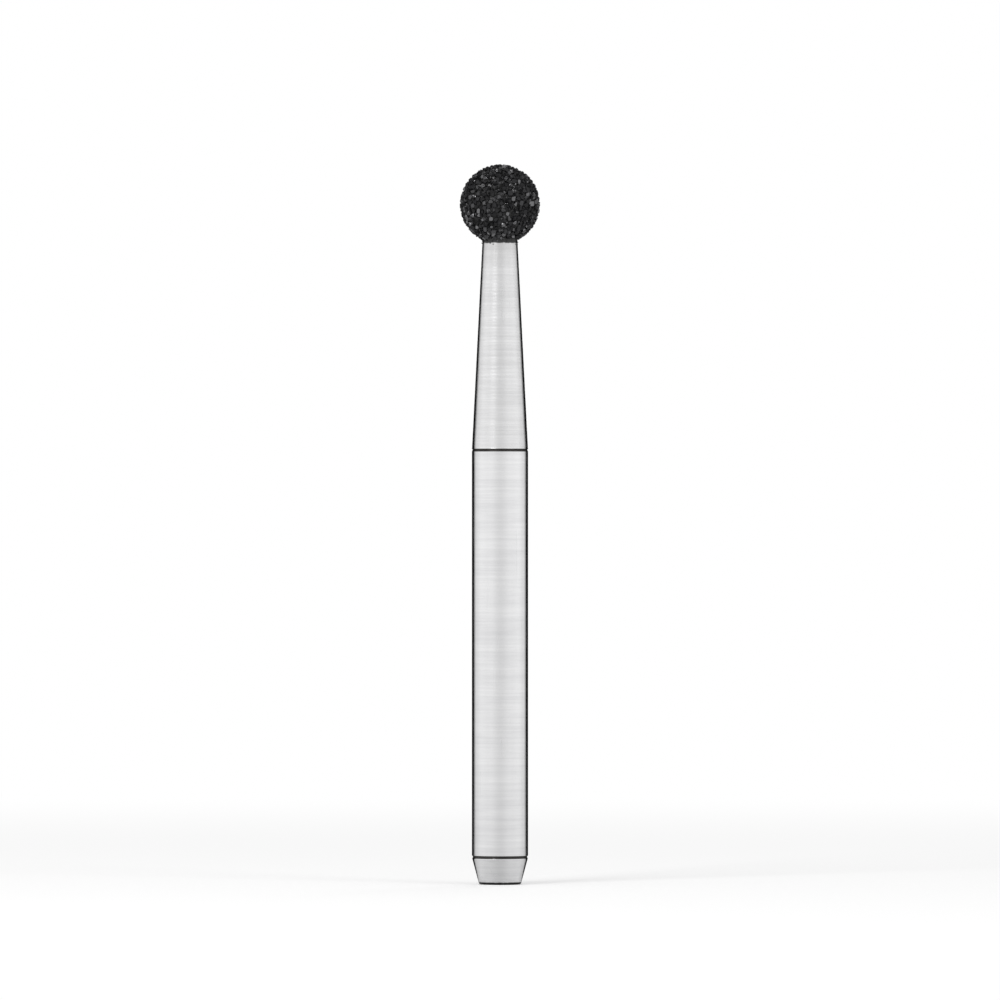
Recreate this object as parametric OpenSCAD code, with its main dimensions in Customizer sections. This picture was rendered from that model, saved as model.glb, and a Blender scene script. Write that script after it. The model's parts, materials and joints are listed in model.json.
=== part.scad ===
// Round diamond bur with a friction grip shank for a high-speed dental handpiece.
// Millimetres, +Z along the axis from the shank's free end to the head.
// The origin is the centre of the flat end face.

/* [Shank] */
// Diameter of the ground cylinder that the chuck grips
shank_d = 1.6; // [1.5:0.05:2.4]
// Length of the ground cylinder, from the lead-in to the shoulder
shank_l = 11.6; // [6:0.1:16]

/* [Lead-in] */
// Length of the tapered lead-in below the cylinder, along the axis
lead_l = 0.77; // [0.4:0.01:1.2]
// Slope of the lead-in's wall from the axis, in degrees
lead_angle = 15; // [5:1:25]
// Radius that breaks the rim of the end face
rim_r = 0.06; // [0.02:0.01:0.12]

/* [Neck] */
// Length of the cone, from the shoulder to the head's surface
neck_l = 5.95; // [3:0.05:12]
// Diameter of the cone where it enters the head
neck_tip_d = 1.0; // [0.7:0.05:1.4]

/* [Head] */
// Diameter of the head, measured over the grit
head_d = 2.3; // [1.8:0.1:3.5]
// Thickness of the nickel-bonded grit on the steel ball
coat_t = 0.15; // [0.08:0.01:0.25]

/* [Hidden] */
$fn = 160;

shank_r = shank_d / 2;
end_r = shank_r - lead_l * tan(lead_angle);
shoulder_z = lead_l + shank_l;

neck_tip_r = neck_tip_d / 2;
neck_tip_z = shoulder_z + neck_l;
neck_slope = (shank_r - neck_tip_r) / neck_l;

head_r = head_d / 2;
ball_r = head_r - coat_t;
head_z = neck_tip_z + sqrt(pow(head_r, 2) - pow(neck_tip_r, 2));
// The cone keeps its slope inside the ball and ends at the ball's centre.
neck_root_r = neck_tip_r - neck_slope * (head_z - neck_tip_z);

// The rim's arc touches the end face and the lead-in's wall, so its centre
// stands rim_r from both, and this is how far each of them is cut back.
rim_cut = rim_r * tan((90 - lead_angle) / 2);

// Half section of the shank and neck, with the corner at the rim cut straight
module turned_outline() {
    polygon([
        [0, 0],
        [end_r - rim_cut, 0],
        [end_r + rim_cut * sin(lead_angle), rim_cut * cos(lead_angle)],
        [shank_r, lead_l],
        [shank_r, shoulder_z],
        [neck_root_r, head_z],
        [0, head_z]
    ]);
}

// Arc that rounds the rim of the end face
module rim_arc() {
    translate([end_r - rim_cut, rim_r]) circle(r = rim_r);
}

// Shank, lead-in, neck and ball, turned from one steel rod
module blank_form() {
    rotate_extrude() {
        turned_outline();
        rim_arc();
    }
    translate([0, 0, head_z]) sphere(r = ball_r);
}

module steel_blank() {
    color([0.86, 0.87, 0.88]) blank_form();
}

// Diamond grit in electroplated nickel, which covers the ball up to the neck
module diamond_coat() {
    color([0.06, 0.06, 0.07])
        difference() {
            translate([0, 0, head_z]) sphere(r = head_r);
            blank_form();
        }
}

steel_blank();
diamond_coat();
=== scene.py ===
# Looks of a round diamond bur for a high-speed dental handpiece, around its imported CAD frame.
# Metres, with +Z along the axis, from the centre of the shank's end face to the ball head.
import json
import math
import random

import bpy
import numpy as np
from mathutils import Euler, Matrix, Vector

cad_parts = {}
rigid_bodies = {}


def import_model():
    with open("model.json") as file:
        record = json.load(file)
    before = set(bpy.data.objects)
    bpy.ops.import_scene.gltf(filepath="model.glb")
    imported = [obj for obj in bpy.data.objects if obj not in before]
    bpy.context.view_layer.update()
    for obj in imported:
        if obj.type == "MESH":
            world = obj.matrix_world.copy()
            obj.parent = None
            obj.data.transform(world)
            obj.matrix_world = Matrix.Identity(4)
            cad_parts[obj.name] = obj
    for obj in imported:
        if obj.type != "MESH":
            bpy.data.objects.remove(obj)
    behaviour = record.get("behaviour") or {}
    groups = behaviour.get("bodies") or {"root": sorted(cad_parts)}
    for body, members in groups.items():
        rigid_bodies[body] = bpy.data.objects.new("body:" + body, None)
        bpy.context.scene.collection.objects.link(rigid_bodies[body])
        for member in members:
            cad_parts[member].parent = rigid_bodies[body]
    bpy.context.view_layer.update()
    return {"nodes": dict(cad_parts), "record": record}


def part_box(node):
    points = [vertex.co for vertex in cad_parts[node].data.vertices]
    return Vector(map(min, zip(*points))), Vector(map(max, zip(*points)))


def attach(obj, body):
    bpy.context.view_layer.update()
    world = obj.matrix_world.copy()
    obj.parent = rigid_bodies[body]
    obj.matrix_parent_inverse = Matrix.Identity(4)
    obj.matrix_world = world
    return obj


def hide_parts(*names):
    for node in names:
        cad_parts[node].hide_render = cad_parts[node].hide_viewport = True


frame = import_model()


# Camera
# The drawing shows the bur from the side, upright and without perspective, so a long lens
# stands well back. Its height puts the end face and the ball's top where the drawing has them.
mm = 0.001
view_width = 28.47 * mm
view_height = 10.94 * mm
camera_distance = 300 * mm
sensor_width = 36

lens = bpy.data.cameras.new("long_lens")
lens.sensor_width = sensor_width
lens.lens = sensor_width * camera_distance / view_width
lens.clip_start = 10 * mm
lens.clip_end = 10000 * mm
camera = bpy.data.objects.new("long_lens", lens)
camera.location = (0, -camera_distance, view_height)
camera.rotation_euler = (math.pi / 2, 0, 0)
bpy.context.scene.collection.objects.link(camera)
bpy.context.scene.camera = camera


# Turned blank
# One stainless steel rod: its shank is centreless ground to 1.6 mm for the chuck, with a ground
# lead-in. The neck and the ball under the grit are turned, and the end is faced off square. Fine
# relief grooves part the ground cylinder from the lead-in and the neck, and are painted dark as shade.
micron = 0.001 * mm
shank = next(m for m in frame["record"]["mounts"] if m["name"] == "shank")
shank_r = shank["dims"]["r_mm"] * mm
shank_l = shank["dims"]["length_mm"] * mm
lead_l = shank["pos_m"][2] - shank_l / 2
shoulder_z = lead_l + shank_l
lead_angle = math.radians(15)
rim_r = 0.06 * mm
end_r = shank_r - lead_l * math.tan(lead_angle)
rim_cut = rim_r * math.tan((math.pi / 2 - lead_angle) / 2)
rim_top = rim_r * (1 - math.sin(lead_angle))

coat_low, coat_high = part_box("diamond_coat")
coat_points = [v.co for v in frame["nodes"]["diamond_coat"].data.vertices]
neck_tip_z = coat_low.z
neck_tip_r = max(math.hypot(p.x, p.y) for p in coat_points if p.z < coat_low.z + micron)
neck_slope = (shank_r - neck_tip_r) / (neck_tip_z - shoulder_z)
coat_h = coat_high.z - coat_low.z
head_r = (coat_h**2 + neck_tip_r**2) / (2 * coat_h)
head_z = coat_high.z - head_r
ball_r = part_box("steel_blank")[1].z - head_z

blank_steps = 160
shank_rings = 16
ball_rings = 40
rim_rings = 8
edge_support = 0.008 * mm
facing_pitch = 0.05 * mm
facing_depth = 1.2 * micron
groove_l = 0.075 * mm
groove_depth = 0.02 * mm
groove_shape = ((0, 0), (0.1, 0.12), (0.75, 1), (0.85, 1), (1, 0.1))
lead_groove_z = lead_l - groove_l * 0.5
ground_start_z = lead_l + groove_l * 0.7
shoulder_groove_z = shoulder_z - groove_l * 0.7
turned_start_z = shoulder_z + groove_l * 0.5
turning_pitch = 0.095 * mm
turning_depth = 2.4 * micron
turning_depth_range = (0.4, 1.5)
turning_shape = ((0, 0), (0.22, 0.7), (0.5, 1), (0.78, 0.7))
turning_seed = 4
start_size = 0.1 * mm
seam_merge = 0.2 * micron
blank_smooth = math.radians(20)


def arc_points(centre_r, centre_z, radius, start, end, steps):
    # Points of the turning profile on an arc, with angles measured from straight outwards
    angles = [start + (end - start) * i / steps for i in range(steps + 1)]
    return [(centre_r + radius * math.cos(a), centre_z + radius * math.sin(a)) for a in angles]


def facing_marks(outer_r):
    # Shallow rings that the facing tool leaves, from the centre outwards
    rings = round(outer_r / facing_pitch)
    points = [(0, facing_depth)]
    for i in range(rings):
        points.append(((i + 0.5) * outer_r / rings, facing_depth))
        points.append(((i + 1) * outer_r / rings, 0))
    return points


def relief_groove(start_z, radius):
    # A fine groove with a long wall towards the shank's end and a steep one after it
    points = [(radius, start_z - edge_support)]
    for along, deep in groove_shape:
        points.append((radius - groove_depth * deep, start_z + groove_l * along))
    return points + [(radius, start_z + groove_l + edge_support)]


def neck_r(z):
    return shank_r - neck_slope * (z - shoulder_z)


root_z = head_z - math.sqrt(ball_r**2 - neck_r(head_z - ball_r) ** 2)
root_angle = math.atan2(root_z - head_z, neck_r(root_z))
ball_points = arc_points(0, head_z, ball_r, root_angle, math.pi / 2, ball_rings)[:-1]
ball_points.append((0, head_z + ball_r))


def turning_marks(start_z, end_z):
    # Scallops of the tool's round nose down the neck, some a little deeper than the others
    draw = random.Random(turning_seed)
    count = round((end_z - start_z) / turning_pitch)
    points = []
    for i in range(count):
        depth = turning_depth * draw.uniform(*turning_depth_range)
        for share, part in turning_shape:
            z = start_z + (i + share) * (end_z - start_z) / count
            points.append((neck_r(z) - depth * part, z))
    return points


def blank_profile():
    # The half outline of the whole rod, from the middle of the end face to the top of the ball
    points = facing_marks(end_r - rim_cut)
    points += arc_points(end_r - rim_cut, rim_r, rim_r, -math.pi / 2, -lead_angle, rim_rings)[1:]
    for z in (rim_top + edge_support, lead_groove_z - 2 * edge_support):
        points.append((shank_r - (lead_l - z) * math.tan(lead_angle), z))
    points += relief_groove(lead_groove_z, shank_r - (lead_l - lead_groove_z) * math.tan(lead_angle))
    points.append((shank_r, ground_start_z))
    step = shank_l / shank_rings
    points += [(shank_r, lead_l + step * i) for i in range(1, shank_rings)]
    points += relief_groove(shoulder_groove_z, shank_r)
    return points + turning_marks(turned_start_z, root_z) + ball_points


def turn_on_lathe(name, profile, steps):
    # One point is extruded along the profile, and the line is spun a full turn about the axis
    bpy.ops.object.select_all(action="DESELECT")
    bpy.ops.mesh.primitive_plane_add(size=start_size, location=(0, 0, 0))
    turned = bpy.context.active_object
    turned.name = name
    bpy.ops.object.mode_set(mode="EDIT")
    bpy.ops.mesh.select_all(action="SELECT")
    bpy.ops.mesh.merge(type="CENTER")
    bpy.ops.transform.translate(value=(profile[0][0], 0, profile[0][1]))
    for before, after in zip(profile, profile[1:]):
        step = (after[0] - before[0], 0, after[1] - before[1])
        bpy.ops.mesh.extrude_vertices_move(TRANSFORM_OT_translate={"value": step})
    bpy.ops.mesh.select_all(action="SELECT")
    bpy.ops.mesh.spin(steps=steps, angle=2 * math.pi, center=(0, 0, 0), axis=(0, 0, 1))
    bpy.ops.mesh.select_all(action="SELECT")
    bpy.ops.mesh.remove_doubles(threshold=seam_merge)
    bpy.ops.mesh.normals_make_consistent(inside=False)
    bpy.ops.object.mode_set(mode="OBJECT")
    return turned


def add_node(tree, kind, inputs=None, **settings):
    # One node with its settings, each of its inputs linked to a socket or set to a value
    node = tree.nodes.new(kind)
    for name, value in settings.items():
        setattr(node, name, value)
    for name, value in (inputs or {}).items():
        if isinstance(value, bpy.types.NodeSocket):
            tree.links.new(value, node.inputs[name])
        else:
            node.inputs[name].default_value = value
    return node


def calculate(tree, operation, *values):
    node = add_node(tree, "ShaderNodeMath", dict(enumerate(values)), operation=operation)
    return node.outputs[0]


def between(tree, value, low, high, to_low=0, to_high=1, steps="LINEAR"):
    # A value spread from one range over another, and kept inside it
    sizes = {"Value": value, "From Min": low, "From Max": high, "To Min": to_low, "To Max": to_high}
    return add_node(tree, "ShaderNodeMapRange", sizes, interpolation_type=steps).outputs[0]


def blend_colours(tree, factor, first, second):
    # Colours are sockets, or shades of red, green and blue
    mix = add_node(tree, "ShaderNodeMix", data_type="RGBA")
    tree.links.new(factor, mix.inputs["Factor"])
    for name, colour in (("A", first), ("B", second)):
        if isinstance(colour, bpy.types.NodeSocket):
            tree.links.new(colour, mix.inputs[name])
        else:
            mix.inputs[name].default_value = (*colour, 1)
    return mix.outputs["Result"]


def new_group(name, inputs, output):
    group = bpy.data.node_groups.new(name, "ShaderNodeTree")
    for title, kind in inputs:
        group.interface.new_socket(name=title, in_out="INPUT", socket_type=kind)
    group.interface.new_socket(name=output, in_out="OUTPUT", socket_type="NodeSocketFloat")
    given = add_node(group, "NodeGroupInput")
    return group, given.outputs


scratches_round = 22 / mm
scratches_along = 0.5 / mm
scratch_tilt = (0.02, 0.03, 0)
fewest_scratches = 0.8
added_scratches = 0.1
scratch_edge = 0.05
ragged_scale = 9 / mm


def turning_lines_group():
    # Fine rings round the axis, which follow the profile over walls, cones and the end face
    sizes = [("Lines per mm", "NodeSocketFloat"), ("Wander", "NodeSocketFloat")]
    group, given = new_group("turning_lines", sizes, "Lines")
    place = add_node(group, "ShaderNodeTexCoord").outputs["Object"]
    axes = add_node(group, "ShaderNodeSeparateXYZ", {0: place}).outputs
    x_squared = calculate(group, "MULTIPLY", axes["X"], axes["X"])
    r_squared = calculate(group, "MULTIPLY_ADD", axes["Y"], axes["Y"], x_squared)
    path = calculate(group, "ADD", axes["Z"], calculate(group, "SQRT", r_squared))
    per_metre = calculate(group, "DIVIDE", given["Lines per mm"], mm)
    wander = calculate(group, "DIVIDE", given["Wander"], mm)
    stretched = add_node(group, "ShaderNodeCombineXYZ", {
        "X": calculate(group, "MULTIPLY", axes["X"], wander),
        "Y": calculate(group, "MULTIPLY", axes["Y"], wander),
        "Z": calculate(group, "MULTIPLY", path, per_metre),
    })
    noise = add_node(group, "ShaderNodeTexNoise",
                     {"Vector": stretched.outputs[0], "Scale": 1, "Detail": 2, "Roughness": 0.6})
    add_node(group, "NodeGroupOutput", {"Lines": noise.outputs[0]})
    return group


def axial_scratches_group():
    # Hairline scratches along the rod, from being slid in and out of chucks and blocks
    group, given = new_group("axial_scratches", [("Amount", "NodeSocketFloat")], "Mask")
    place = add_node(group, "ShaderNodeTexCoord").outputs["Object"]
    stretch = add_node(group, "ShaderNodeMapping",
                       {"Vector": place, "Rotation": scratch_tilt,
                        "Scale": (scratches_round, scratches_round, scratches_along)})
    noise = add_node(group, "ShaderNodeTexNoise",
                     {"Vector": stretch.outputs[0], "Scale": 1, "Detail": 1})
    least = calculate(group, "MULTIPLY_ADD", given["Amount"], -added_scratches, fewest_scratches)
    above = calculate(group, "SUBTRACT", noise.outputs[0], least)
    add_node(group, "NodeGroupOutput", {"Mask": between(group, above, 0, scratch_edge)})
    return group


def ragged_cover_group():
    # How much of the steel is covered at each height: all of it past a ragged edge, which it
    # reaches from below over the fade's length, or from above where the fade is negative
    sizes = [(title, "NodeSocketFloat") for title in ("Edge", "Fade", "Ragged")]
    group, given = new_group("ragged_cover", sizes, "Covered")
    place = add_node(group, "ShaderNodeTexCoord").outputs["Object"]
    height = add_node(group, "ShaderNodeSeparateXYZ", {0: place}).outputs["Z"]
    noise = add_node(group, "ShaderNodeTexNoise",
                     {"Vector": place, "Scale": ragged_scale, "Detail": 2})
    swing = calculate(group, "SUBTRACT", noise.outputs[0], 0.5)
    uneven = calculate(group, "MULTIPLY_ADD", swing, given["Ragged"], height)
    start = calculate(group, "SUBTRACT", given["Edge"], given["Fade"])
    add_node(group, "NodeGroupOutput", {"Covered": between(group, uneven, start, given["Edge"])})
    return group


turning_lines = turning_lines_group()
axial_scratches = axial_scratches_group()
ragged_cover = ragged_cover_group()


def use_group(tree, group, sizes):
    # The one output of a group that is placed in a material with the material's own sizes
    placed = add_node(tree, "ShaderNodeGroup", node_tree=group)
    for title, size in sizes.items():
        placed.inputs[title].default_value = size
    return placed.outputs[0]


brushed_pull = 0.7
quarter_turn = 0.25
fine_wander = 0.4
middle_share = 0.3
middle_wander = 0.5
broad_per_mm = 0.7
broad_wander = 0.8
line_range = (0.32, 0.68)
fine_share = 0.4
uneven_range = (0.5, 0.9)
scratch_rougher = 0.12
scratch_depth = 0.6


def steel_finish(name, shades, roughness, lines_per_mm, line_depth, covers=()):
    # Steel whose fine lines vary its colour, roughness and relief, under its covers
    material = bpy.data.materials.new(name)
    material.use_nodes = True
    tree = material.node_tree
    shader = tree.nodes["Principled BSDF"]
    shader.inputs["Metallic"].default_value = 1
    shader.inputs["Anisotropic"].default_value = brushed_pull
    shader.inputs["Anisotropic Rotation"].default_value = quarter_turn
    round_axis = add_node(tree, "ShaderNodeTangent", direction_type="RADIAL", axis="Z")
    tree.links.new(round_axis.outputs[0], shader.inputs["Tangent"])

    fine = use_group(tree, turning_lines, {"Lines per mm": lines_per_mm, "Wander": fine_wander})
    middle = use_group(tree, turning_lines,
                       {"Lines per mm": lines_per_mm * middle_share, "Wander": middle_wander})
    broad = use_group(tree, turning_lines, {"Lines per mm": broad_per_mm, "Wander": broad_wander})
    lines = calculate(tree, "MULTIPLY", calculate(tree, "ADD", fine, middle), 0.5)
    scratch = use_group(tree, axial_scratches, {"Amount": 1})
    colour = blend_colours(tree, between(tree, lines, *line_range), *shades)
    unevenness = calculate(tree, "MULTIPLY_ADD", lines, fine_share, broad)
    rough = between(tree, unevenness, *uneven_range, *roughness)
    rough = calculate(tree, "MULTIPLY_ADD", scratch, scratch_rougher, rough)
    for cover in covers:
        covered = use_group(tree, ragged_cover, cover["extent"])
        share = calculate(tree, "MULTIPLY", covered, cover["amount"])
        colour = blend_colours(tree, share, colour, cover["shade"])
        rough = calculate(tree, "MULTIPLY_ADD", share, cover["rougher"], rough)
    tree.links.new(colour, shader.inputs["Base Color"])
    tree.links.new(rough, shader.inputs["Roughness"])
    height = calculate(tree, "MULTIPLY_ADD", scratch, -scratch_depth, lines)
    bump = add_node(tree, "ShaderNodeBump", {"Height": height, "Strength": 1, "Distance": line_depth})
    tree.links.new(bump.outputs[0], shader.inputs["Normal"])
    return material


# Painted contact shadow: the rim of the foot and the bottom of the lead-in are painted near black,
# where the foot meets the floor
foot_painted_shadow = {"extent": {"Edge": rim_top + 0.012 * mm, "Fade": -0.025 * mm, "Ragged": 0.02 * mm},
              "amount": 1, "shade": (0.03, 0.029, 0.028), "rougher": 0.3}
# Painted shade and reflection of the dark ball: the neck's steel is greyed a little over its last 0.8
# mm below the coat
neck_painted_shade = {"extent": {"Edge": neck_tip_z, "Fade": 0.8 * mm, "Ragged": 0.3 * mm},
                 "amount": 0.35, "shade": (0.42, 0.41, 0.4), "rougher": 0}
nickel_film = {"extent": {"Edge": neck_tip_z - 0.055 * mm, "Fade": 0.03 * mm, "Ragged": 0.07 * mm},
               "amount": 1, "shade": (0.06, 0.06, 0.06), "rougher": 0.2}
ground_steel = steel_finish("ground_steel", ((0.76, 0.76, 0.77), (0.88, 0.88, 0.885)),
                            (0.14, 0.24), 14, 0.5 * micron, [foot_painted_shadow])
turned_steel = steel_finish("turned_steel", ((0.72, 0.72, 0.725), (0.86, 0.86, 0.865)),
                            (0.18, 0.28), 18, 0.5 * micron, [neck_painted_shade, nickel_film])
# Painted shade: near-black steel for the relief grooves, so that each groove reads as a dark line
# under any light
stained_steel = steel_finish("stained_steel", ((0.02, 0.019, 0.018), (0.1, 0.096, 0.092)),
                             (0.4, 0.6), 18, 0.8 * micron)

turned_blank = turn_on_lathe("turned_blank", blank_profile(), blank_steps)
bpy.ops.object.shade_smooth_by_angle(angle=blank_smooth)
steels = (ground_steel, turned_steel, stained_steel)
for material in steels:
    turned_blank.data.materials.append(material)
# Each groove's faces, up to just past its upper lip, take the painted shade
groove_lip = groove_l * 0.05
painted_shade_bands = [(z + groove_lip, z + groove_l + edge_support)
                 for z in (lead_groove_z, shoulder_groove_z)]
for face in turned_blank.data.polygons:
    if any(low < face.center.z < high for low, high in painted_shade_bands):
        face.material_index = steels.index(stained_steel)
    elif face.center.z > shoulder_z or face.center.z < facing_depth:
        face.material_index = steels.index(turned_steel)
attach(turned_blank, "root")
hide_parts("steel_blank")


# Diamond grains
# Blocky synthetic diamonds of about an eighth of a millimetre, with smaller ones in the gaps
# between them, held by the nickel that has grown round them to about half their height. Five
# shapes are modelled once, and each copy is turned at random.
grain_w = 0.13 * mm
small_grain_w = 0.078 * mm
grain_gap = 0.126 * mm
small_grain_gap = 0.09 * mm
tip_scatter = 0.006 * mm
small_tip_drop = 0.032 * mm
seat_clearance = 0.004 * mm
neck_clearance = 0.03 * mm
grain_size_range = (0.85, 1.15)
darts = 9000
grain_seed = 11


def cut_crystal(name, proportions, corner_cut, cleavages):
    # A cube of size 1 in these proportions, with its corners cut off and broken along planes
    bpy.ops.object.select_all(action="DESELECT")
    bpy.ops.mesh.primitive_cube_add(size=1, location=(0, 0, 0))
    crystal = bpy.context.active_object
    crystal.name = name
    bpy.ops.object.mode_set(mode="EDIT")
    bpy.ops.mesh.select_all(action="SELECT")
    bpy.ops.transform.resize(value=proportions)
    bpy.ops.mesh.bevel(offset=corner_cut, affect="VERTICES")
    for point, normal in cleavages:
        bpy.ops.mesh.select_all(action="SELECT")
        bpy.ops.mesh.bisect(plane_co=point, plane_no=normal, use_fill=True, clear_outer=True)
    bpy.ops.mesh.select_all(action="SELECT")
    bpy.ops.mesh.normals_make_consistent(inside=False)
    bpy.ops.object.mode_set(mode="OBJECT")
    return crystal


def clear_of(taken, spot, gap):
    return not taken or np.linalg.norm(np.subtract(taken, spot), axis=1).min() > gap


def scatter_on_head(draw, gap, taken):
    # Darts thrown at the ball, kept where they land clear of the neck and of earlier grains
    for _ in range(darts):
        z = draw.uniform(-1, 1)
        turn = draw.uniform(0, 2 * math.pi)
        across = math.sqrt(1 - z * z)
        spot = (across * math.cos(turn), across * math.sin(turn), z)
        on_neck = z < 0 and across * head_r < neck_tip_r + neck_clearance
        if not on_neck and clear_of(taken, spot, gap / head_r):
            taken.append(spot)


def seat_grain(crystal, centre, out, width, seat_r, tip_r, draw):
    # A copy of the crystal, turned at random, with its tip at one distance from a centre and its
    # foot no deeper than the other
    grain = crystal.copy()
    grain.data = crystal.data.copy()
    turn = Euler([draw.uniform(0, 2 * math.pi) for _ in range(3)]).to_matrix()
    out = Vector(out)
    reaches = [(turn @ v.co).dot(out) for v in grain.data.vertices]
    tallest = (tip_r - seat_r) / (max(reaches) - min(reaches))
    size = min(width * draw.uniform(*grain_size_range), tallest)
    place = Vector(centre) + out * (tip_r - max(reaches) * size)
    grain.matrix_world = Matrix.Translation(place) @ (turn * size).to_4x4()
    bpy.context.scene.collection.objects.link(grain)
    return grain


def join_pieces(pieces, name):
    # The first piece takes in the others, with its place and turn put into its mesh
    bpy.ops.object.select_all(action="DESELECT")
    for piece in pieces:
        piece.select_set(True)
    bpy.context.view_layer.objects.active = pieces[0]
    bpy.ops.object.join()
    bpy.ops.object.transform_apply(location=True, rotation=True, scale=True)
    joined = bpy.context.active_object
    joined.name = name
    return joined


crystals = [
    cut_crystal("cube_crystal", (1, 0.95, 0.9), 0.3, []),
    cut_crystal("octahedral_crystal", (1, 1, 1.05), 0.44, []),
    cut_crystal("long_crystal", (1.15, 0.8, 0.85), 0.25, [((0.38, 0, 0), (1, 0.3, 0.5))]),
    cut_crystal("cleaved_crystal", (1, 1, 0.95), 0.22, [((0, 0.15, 0.15), (0.2, 0.9, 0.7))]),
    cut_crystal("splinter_crystal", (1.2, 0.75, 0.9), 0.18,
                [((0.1, 0.2, 0), (0.5, 1, 0.2)), ((-0.2, 0, 0.25), (-0.6, 0.1, 1))]),
]
draw = random.Random(grain_seed)
spots = []
scatter_on_head(draw, grain_gap, spots)
large_count = len(spots)
scatter_on_head(draw, small_grain_gap, spots)
grains = []
for i, spot in enumerate(spots):
    width, drop = (grain_w, 0) if i < large_count else (small_grain_w, small_tip_drop)
    crystal = draw.choice(crystals)
    tip_r = head_r - drop - draw.uniform(0, tip_scatter)
    grains.append(seat_grain(crystal, (0, 0, head_z), spot, width,
                             ball_r + seat_clearance, tip_r, draw))
diamond_grains = join_pieces(grains, "diamond_grains")

cloud_scale = 16 / mm
step_scale = 60 / mm
fracture_scale = 22 / mm
cloud_share = 0.5
step_share = 0.25
fracture_depth = 6 * micron
dull_range = (0.2, 1.3)
dull_shades = ((0.002, 0.002, 0.0025), (0.03, 0.03, 0.033))
clean_range = (0.62, 0.9)
clean_shade = (0.17, 0.17, 0.175)
polish_range = (0.3, 0.92)
diamond_roughness = (0.5, 0.08)

black_diamond = bpy.data.materials.new("black_diamond")
black_diamond.use_nodes = True
tree = black_diamond.node_tree
shader = tree.nodes["Principled BSDF"]
shader.inputs["IOR"].default_value = 1.5
shader.inputs["Specular IOR Level"].default_value = 0.3
own = add_node(tree, "ShaderNodeNewGeometry").outputs["Random Per Island"]
place = add_node(tree, "ShaderNodeTexCoord").outputs["Object"]
clouds = add_node(tree, "ShaderNodeTexNoise", {"Vector": place, "Scale": cloud_scale, "Detail": 3})
steps = add_node(tree, "ShaderNodeTexNoise", {"Vector": place, "Scale": step_scale, "Detail": 2})
fractures = add_node(tree, "ShaderNodeTexVoronoi", {"Vector": place, "Scale": fracture_scale})
cloudy = calculate(tree, "MULTIPLY_ADD", clouds.outputs[0], cloud_share, own)
clean = between(tree, own, *clean_range)
dull = blend_colours(tree, between(tree, cloudy, *dull_range), *dull_shades)
shade = blend_colours(tree, clean, dull, clean_shade)
tree.links.new(shade, shader.inputs["Base Color"])
tree.links.new(clean, shader.inputs["Metallic"])
rough = between(tree, own, *polish_range, *diamond_roughness)
tree.links.new(rough, shader.inputs["Roughness"])
relief = calculate(tree, "MULTIPLY_ADD", steps.outputs[0], step_share, fractures.outputs["Distance"])
bump = add_node(tree, "ShaderNodeBump",
                {"Height": relief, "Strength": 1, "Distance": fracture_depth})
tree.links.new(bump.outputs[0], shader.inputs["Normal"])
diamond_grains.data.materials.append(black_diamond)
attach(diamond_grains, "root")
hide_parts("diamond_coat")


# Stray grains
# The bath leaves a few small diamonds on the steel just below the coat's edge, held by the thin
# nickel film there, so that the edge of the grit is a little ragged.
stray_count = 22
stray_reach = 0.11 * mm
stray_crowding = 1.5
stray_gap = 0.09 * mm
stray_w = 0.055 * mm
stray_h = 0.028 * mm
stray_sunk = 0.006 * mm
stray_seed = 23

draw = random.Random(stray_seed)
strays = []
stray_spots = []
while len(strays) < stray_count:
    turn = draw.uniform(0, 2 * math.pi)
    z = neck_tip_z - stray_reach * draw.random() ** stray_crowding
    out = (math.cos(turn), math.sin(turn), 0)
    spot = (out[0] * neck_r(z), out[1] * neck_r(z), z)
    if clear_of(stray_spots, spot, stray_gap):
        stray_spots.append(spot)
        strays.append(seat_grain(draw.choice(crystals), (0, 0, z), out, stray_w,
                                 neck_r(z) - stray_sunk, neck_r(z) + stray_h, draw))
for crystal in crystals:
    bpy.data.objects.remove(crystal)
stray_grains = join_pieces(strays, "stray_grains")
stray_grains.data.materials.append(black_diamond)
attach(stray_grains, "root")
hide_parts("diamond_coat")


# Nickel bond
# Electroplated nickel that holds the grains: it grows over the steel ball and a little way up
# each grain, so its skin is lumpy, and it ends in a small fillet on the neck. It is a shell, with
# the ball and the tip of the neck cut out of it.
bond_r = 1.062 * mm
bond_climb = 0.042 * mm
bond_voxel = 0.019 * mm
fillet_r = 0.035 * mm
fillet_steps = 96
fillet_rings = 16
core_l = 0.3 * mm
bond_merge = 0.4 * micron
bond_smooth = math.radians(60)

bpy.ops.object.select_all(action="DESELECT")
bpy.ops.mesh.primitive_ico_sphere_add(subdivisions=5, radius=bond_r, location=(0, 0, head_z))
skin = bpy.context.active_object
fillet_z = head_z - math.sqrt(bond_r**2 - (neck_tip_r + fillet_r) ** 2)
bpy.ops.object.select_all(action="DESELECT")
bpy.ops.mesh.primitive_torus_add(major_radius=neck_tip_r, minor_radius=fillet_r,
                                 major_segments=fillet_steps, minor_segments=fillet_rings,
                                 location=(0, 0, fillet_z))
fillet = bpy.context.active_object
climb = diamond_grains.copy()
climb.data = diamond_grains.data.copy()
climb.parent = None
bpy.context.scene.collection.objects.link(climb)
bpy.ops.object.select_all(action="DESELECT")
climb.select_set(True)
bpy.context.view_layer.objects.active = climb
bpy.ops.object.mode_set(mode="EDIT")
bpy.ops.mesh.select_all(action="SELECT")
sunk = 1 - bond_climb / head_r
bpy.ops.transform.resize(value=(sunk, sunk, sunk), center_override=(0, 0, head_z))
bpy.ops.object.mode_set(mode="OBJECT")
nickel_bond = join_pieces([skin, fillet, climb], "nickel_bond")
grown = nickel_bond.modifiers.new("grown_together", "REMESH")
grown.mode = "VOXEL"
grown.voxel_size = bond_voxel
bpy.ops.object.modifier_apply(modifier=grown.name)
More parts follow.
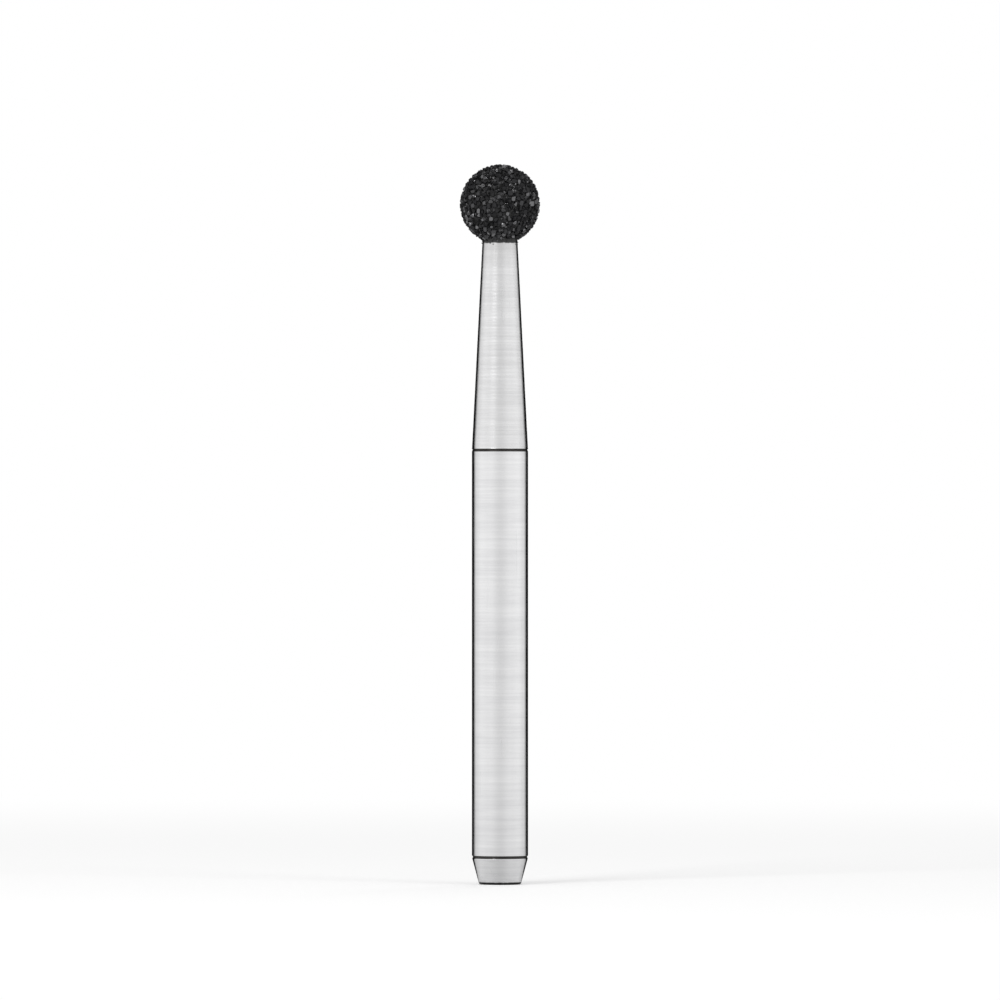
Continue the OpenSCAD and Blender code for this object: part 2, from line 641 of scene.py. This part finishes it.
rounded = nickel_bond.modifiers.new("rounded", "SMOOTH")
rounded.iterations = 4
rounded.factor = 0.5
bpy.ops.object.modifier_apply(modifier=rounded.name)
for vertex in nickel_bond.data.vertices:
    vertex.select = False
highest = max(nickel_bond.data.vertices, key=lambda v: v.co.z)
highest.select = True
bpy.ops.object.mode_set(mode="EDIT")
bpy.ops.mesh.select_linked()
bpy.ops.mesh.select_all(action="INVERT")
bpy.ops.mesh.delete(type="VERT")
bpy.ops.object.mode_set(mode="OBJECT")

core_z = neck_tip_z - core_l
core_foot = [(0, core_z), (neck_r(core_z), core_z)]
core = turn_on_lathe("core", core_foot + ball_points, blank_steps)
hollow = nickel_bond.modifiers.new("hollow", "BOOLEAN")
hollow.operation = "DIFFERENCE"
hollow.object = core
bpy.ops.object.select_all(action="DESELECT")
nickel_bond.select_set(True)
bpy.context.view_layer.objects.active = nickel_bond
bpy.ops.object.modifier_apply(modifier=hollow.name)
bpy.data.objects.remove(core)
bpy.ops.object.mode_set(mode="EDIT")
bpy.ops.mesh.select_all(action="SELECT")
bpy.ops.mesh.remove_doubles(threshold=bond_merge)
bpy.ops.mesh.dissolve_degenerate(threshold=bond_merge)
bpy.ops.object.mode_set(mode="OBJECT")
bpy.ops.object.shade_smooth_by_angle(angle=bond_smooth)

patch_scale = 7 / mm
nodule_scale = 45 / mm
nodule_share = 0.5
nodule_depth = 3 * micron
nickel_range = (0.5, 1)
nickel_shades = ((0.018, 0.018, 0.018), (0.06, 0.06, 0.06))
nickel_roughness = (0.62, 0.38)

dark_nickel = bpy.data.materials.new("dark_nickel")
dark_nickel.use_nodes = True
tree = dark_nickel.node_tree
shader = tree.nodes["Principled BSDF"]
shader.inputs["Metallic"].default_value = 1
place = add_node(tree, "ShaderNodeTexCoord").outputs["Object"]
patches = add_node(tree, "ShaderNodeTexNoise", {"Vector": place, "Scale": patch_scale, "Detail": 3})
nodules = add_node(tree, "ShaderNodeTexNoise", {"Vector": place, "Scale": nodule_scale, "Detail": 2})
uneven = calculate(tree, "MULTIPLY_ADD", nodules.outputs[0], nodule_share, patches.outputs[0])
shade = blend_colours(tree, between(tree, uneven, *nickel_range), *nickel_shades)
tree.links.new(shade, shader.inputs["Base Color"])
rough = between(tree, uneven, *nickel_range, *nickel_roughness)
tree.links.new(rough, shader.inputs["Roughness"])
bump = add_node(tree, "ShaderNodeBump",
                {"Height": nodules.outputs[0], "Strength": 1, "Distance": nodule_depth})
tree.links.new(bump.outputs[0], shader.inputs["Normal"])
nickel_bond.data.materials.clear()
nickel_bond.data.materials.append(dark_nickel)
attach(nickel_bond, "root")
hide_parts("diamond_coat")


# World
# A white studio with a dark ceiling, and two tall black cards behind the bur. Polished steel
# shows the cards as a dark line down each edge, where the drawing has its outline. The world isn't
# sampled as a lamp, so that only mirrors see the cards and matt surfaces get an even light.
ambient = 0.6
card_shades = ((0, 1), (0.015, 1), (0.04, 0), (0.245, 0), (0.29, 0.45), (0.35, 0.85), (0.55, 1),
               (0.75, 0.95), (1, 0.82))
ceiling_start = math.radians(28)
ceiling_end = math.radians(48)
ceiling_shade = 0.12
under_start = math.radians(-20)
under_end = math.radians(-45)
under_shade = 0.85


def studio_cards_group():
    # The shade of the studio in each direction: each card shade goes with a share of the half turn
    # from straight behind the bur to the front, and the height darkens or lightens it
    group, given = new_group("studio_cards", [("Direction", "NodeSocketVector")], "Shade")
    axes = add_node(group, "ShaderNodeSeparateXYZ", {0: given["Direction"]}).outputs
    side = calculate(group, "ABSOLUTE", axes["X"])
    from_behind = calculate(group, "DIVIDE", calculate(group, "ARCTAN2", side, axes["Y"]), math.pi)
    cards = add_node(group, "ShaderNodeValToRGB", {0: from_behind})
    stops = cards.color_ramp.elements
    cards.color_ramp.interpolation = "EASE"
    for place, shade in card_shades[1:-1]:
        stops.new(place)
    stops[0].position = card_shades[0][0]
    stops[-1].position = card_shades[-1][0]
    for stop, (place, shade) in zip(stops, card_shades):
        stop.color = (shade, shade, shade, 1)
    level = add_node(group, "ShaderNodeVectorMath",
                     {0: given["Direction"], 1: (1, 1, 0)}, operation="MULTIPLY")
    run = add_node(group, "ShaderNodeVectorMath", {0: level.outputs[0]}, operation="LENGTH")
    rise = calculate(group, "ARCTAN2", axes["Z"], run.outputs["Value"])
    ceiling = between(group, rise, ceiling_start, ceiling_end, 1, ceiling_shade, "SMOOTHSTEP")
    under = between(group, rise, under_start, under_end)
    shade = calculate(group, "MULTIPLY", cards.outputs[0], ceiling)
    lighter = calculate(group, "SUBTRACT", under_shade, shade)
    shade = calculate(group, "MULTIPLY_ADD", under, lighter, shade)
    add_node(group, "NodeGroupOutput", {"Shade": shade})
    return group


studio_cards = studio_cards_group()
world = bpy.data.worlds.new("white_studio")
bpy.context.scene.world = world
world.use_nodes = True
world.cycles.sampling_method = "NONE"
tree = world.node_tree
direction = add_node(tree, "ShaderNodeTexCoord").outputs["Generated"]
cards = add_node(tree, "ShaderNodeGroup", {"Direction": direction}, node_tree=studio_cards)
ray = add_node(tree, "ShaderNodeLightPath").outputs
mirrored = calculate(tree, "MAXIMUM", ray["Is Glossy Ray"], ray["Is Transmission Ray"])
card_light = calculate(tree, "SUBTRACT", cards.outputs[0], ambient)
light = calculate(tree, "MULTIPLY_ADD", card_light, mirrored, ambient)
strength = calculate(tree, "MAXIMUM", light, ray["Is Camera Ray"])
tree.links.new(strength, tree.nodes["Background"].inputs["Strength"])
tree.nodes["Background"].inputs["Color"].default_value = (1, 1, 1, 1)


# Floor
# A pale matt floor that keeps the bur's shadow near its foot and fades to white further out.
# Mirrors see the cards' shades carried on over it. A camera below sees through it, and it is open
# under the end face, so that light comes there too.
floor_r = 400 * mm
floor_hole_r = end_r - 2 * rim_r
floor_steps = 96
floor_drop = 0.5 * micron
floor_pale = 0.9
floor_glow = 0.2
fade_start = 15 * mm
fade_end = 90 * mm

bpy.ops.object.select_all(action="DESELECT")
bpy.ops.mesh.primitive_circle_add(vertices=floor_steps, radius=floor_hole_r, fill_type="NOTHING",
                                  location=(0, 0, 0))
floor = bpy.context.active_object
floor.name = "floor"
bpy.ops.object.mode_set(mode="EDIT")
bpy.ops.mesh.select_all(action="SELECT")
bpy.ops.transform.translate(value=(0, 0, -floor_drop))
bpy.ops.mesh.extrude_edges_move()
spread = floor_r / floor_hole_r
bpy.ops.transform.resize(value=(spread, spread, 1), center_override=(0, 0, -floor_drop))
bpy.ops.mesh.select_all(action="SELECT")
bpy.ops.mesh.flip_normals()
bpy.ops.object.mode_set(mode="OBJECT")
floor_white = bpy.data.materials.new("floor_white")
floor_white.use_nodes = True
tree = floor_white.node_tree
shader = tree.nodes["Principled BSDF"]
shader.inputs["Roughness"].default_value = 1
shader.inputs["Specular IOR Level"].default_value = 0
shader.inputs["Emission Strength"].default_value = 1
place = add_node(tree, "ShaderNodeTexCoord").outputs["Object"]
cards = add_node(tree, "ShaderNodeGroup", {"Direction": place}, node_tree=studio_cards)
ray = add_node(tree, "ShaderNodeLightPath").outputs
distance = add_node(tree, "ShaderNodeVectorMath", {0: place}, operation="LENGTH")
far = between(tree, distance.outputs["Value"], fade_start, fade_end, steps="SMOOTHSTEP")
near = calculate(tree, "SUBTRACT", 1, far)
card_light = calculate(tree, "SUBTRACT", cards.outputs[0], 1)
backdrop = calculate(tree, "MULTIPLY_ADD", card_light, ray["Is Glossy Ray"], 1)
mirrored = calculate(tree, "MAXIMUM", ray["Is Glossy Ray"], ray["Is Transmission Ray"])
faded = calculate(tree, "MULTIPLY", far, calculate(tree, "MAXIMUM", mirrored, ray["Is Camera Ray"]))
matt = calculate(tree, "MULTIPLY", calculate(tree, "MULTIPLY", backdrop, floor_pale),
                 calculate(tree, "SUBTRACT", 1, faded))
glow = calculate(tree, "MULTIPLY", calculate(tree, "MULTIPLY", near, floor_glow), ray["Is Camera Ray"])
tree.links.new(matt, shader.inputs["Base Color"])
tree.links.new(calculate(tree, "MULTIPLY_ADD", faded, backdrop, glow), shader.inputs["Emission Color"])
below = add_node(tree, "ShaderNodeNewGeometry").outputs["Backfacing"]
seen_below = calculate(tree, "MULTIPLY", below, ray["Is Camera Ray"])
clear = add_node(tree, "ShaderNodeBsdfTransparent")
one_sided = add_node(tree, "ShaderNodeMixShader",
                     {0: seen_below, 1: shader.outputs[0], 2: clear.outputs[0]})
tree.links.new(one_sided.outputs[0], tree.nodes["Material Output"].inputs["Surface"])
floor.data.materials.append(floor_white)


# Lamps
# A key softbox high on the left, so that upright steel doesn't mirror it and the facets of the
# grains do, a weak fill on the right, and one from behind for the top of the head. Each has its
# place and width in millimetres, and its power in watts.
softboxes = (
    ("key_softbox", (-66, -94, 116), 55, 0.06),
    ("fill_softbox", (85, -75, 130), 45, 0.02),
    ("top_softbox", (20, 60, 170), 50, 0.02),
)
aim = Vector((0, 0, 11 * mm))
for name, place, width, power in softboxes:
    lamp = bpy.data.lights.new(name, "AREA")
    lamp.shape = "SQUARE"
    lamp.size = width * mm
    lamp.energy = power
    softbox = bpy.data.objects.new(name, lamp)
    softbox.location = Vector(place) * mm
    softbox.rotation_euler = (aim - softbox.location).to_track_quat("-Z", "Y").to_euler()
    bpy.context.scene.collection.objects.link(softbox)

bpy.context.scene.view_settings.view_transform = "Standard"
